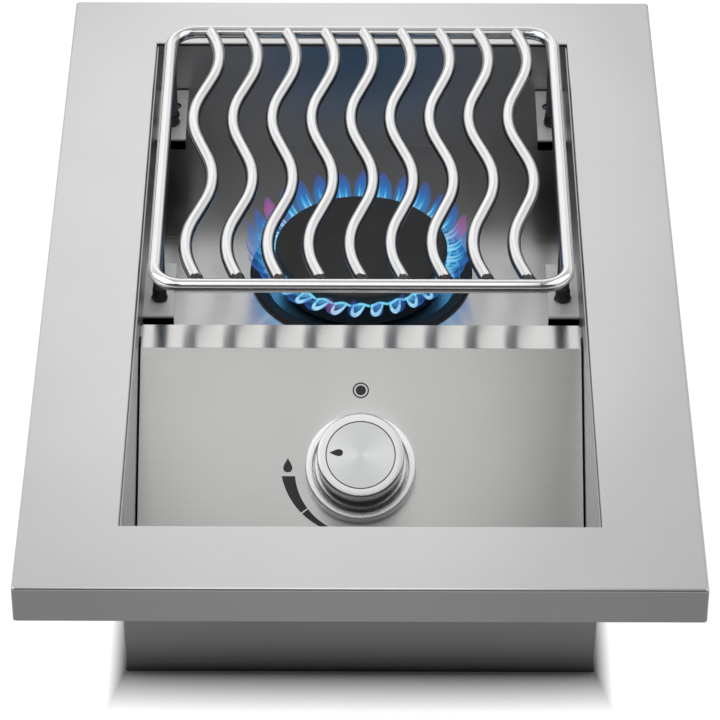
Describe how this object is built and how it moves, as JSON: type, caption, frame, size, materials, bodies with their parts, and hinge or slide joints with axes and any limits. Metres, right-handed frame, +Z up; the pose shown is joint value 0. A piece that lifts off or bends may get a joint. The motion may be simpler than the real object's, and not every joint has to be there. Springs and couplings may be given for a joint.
{
  "type": "built-in gas side burner",
  "caption": "Drop-in side burner for an outdoor kitchen: wide trim frame, recessed housing, wave-rod grate over a capped gas burner, sloped control panel with one knob.",
  "frame": {"origin": "under the middle of the trim frame, level with the underside of the housing", "axes": "+Z up, -Y the front where the cook stands, +X to the cook's right; all joints at rest, knob at HIGH"},
  "size_m": [0.343, 0.531, 0.1153],
  "materials": {
    "trim_steel": "satin, straight grain",
    "housing_steel": "mill",
    "pan_steel": "mill",
    "panel_steel": "satin",
    "screw_steel": "zinc plated",
    "rod_steel": "polished rod",
    "shelf_steel": "satin",
    "ring_enamel": "satin enamel",
    "bowl_steel": "mill",
    "burner_alloy": "as cast",
    "head_iron": "as cast",
    "cap_enamel": "matte enamel",
    "ceramic_white": "glazed",
    "wire_steel": "drawn wire",
    "tube_steel": "aluminised",
    "valve_brass": "machined",
    "valve_alloy": "die cast",
    "stem_steel": "turned",
    "knob_chrome": "satin chrome",
    "face_steel": "circular grain",
    "pipe_alloy": "drawn tube"
  },
  "bodies": {
    "housing": {"bezel_frame": "trim_steel", "burner_box": "housing_steel", "fire_pan": "pan_steel", "control_panel": "panel_steel", "panel_screws": "screw_steel", "shelf_front_left": "shelf_steel", "shelf_front_right": "shelf_steel", "shelf_rear_left": "shelf_steel", "shelf_rear_right": "shelf_steel", "trim_ring": "ring_enamel", "burner_bowl": "bowl_steel", "burner_base": "burner_alloy", "base_screws": "screw_steel", "burner_head": "head_iron", "spark_ceramic": "ceramic_white", "spark_clip": "screw_steel", "spark_wire": "wire_steel", "mixing_tube": "tube_steel", "shutter_screw": "screw_steel", "gas_jet": "valve_brass", "valve_body": "valve_alloy", "valve_bonnet": "valve_alloy", "bonnet_screws": "screw_steel", "knob_ring": "knob_chrome", "knob_ring_screws": "screw_steel", "supply_pipe": "pipe_alloy", "inlet_fitting": "valve_brass", "inlet_nut": "valve_brass"},
    "plug": {"valve_plug": "valve_brass", "valve_spring": "wire_steel"},
    "knob": {"valve_stem": "stem_steel", "knob_body": "knob_chrome", "knob_face": "face_steel"},
    "cap": {"burner_cap": "cap_enamel"},
    "grate": {"grate_ring": "rod_steel", "grate_bar_1": "rod_steel", "grate_bar_2": "rod_steel", "grate_bar_3": "rod_steel", "grate_bar_4": "rod_steel", "grate_bar_5": "rod_steel", "grate_bar_6": "rod_steel", "grate_bar_7": "rod_steel", "grate_bar_8": "rod_steel", "grate_bar_9": "rod_steel", "grate_leg_front_left": "rod_steel", "grate_leg_front_right": "rod_steel", "grate_leg_rear_left": "rod_steel", "grate_leg_rear_right": "rod_steel"},
    "shutter": {"air_shutter": "tube_steel"}
  },
  "joints": [
    {"name": "knob_turn", "type": "hinge", "parent": "housing", "child": "plug", "pos_m": [0, -0.09895, 0.03694], "axis": [0, -0.5878, 0.809], "range_deg": [-90, 90]},
    {"name": "knob_push", "type": "slide", "parent": "plug", "child": "knob", "axis": [0, 0.5878, -0.809], "range_m": [0, 0.003], "stiffness_N_per_m": 800, "springref_m": -0.004, "deforming": ["valve_spring"]},
    {"name": "cap_lift", "type": "slide", "parent": "housing", "child": "cap", "axis": [0, 0, 1], "range_m": [0, 0.04]},
    {"name": "grate_lift", "type": "slide", "parent": "housing", "child": "grate", "axis": [0, 0, 1], "range_m": [0, 0.06]},
    {"name": "shutter_turn", "type": "hinge", "parent": "housing", "child": "shutter", "pos_m": [0, -0.048, 0.0116], "axis": [0, 1, 0], "range_deg": [-25, 25]}
  ]
}
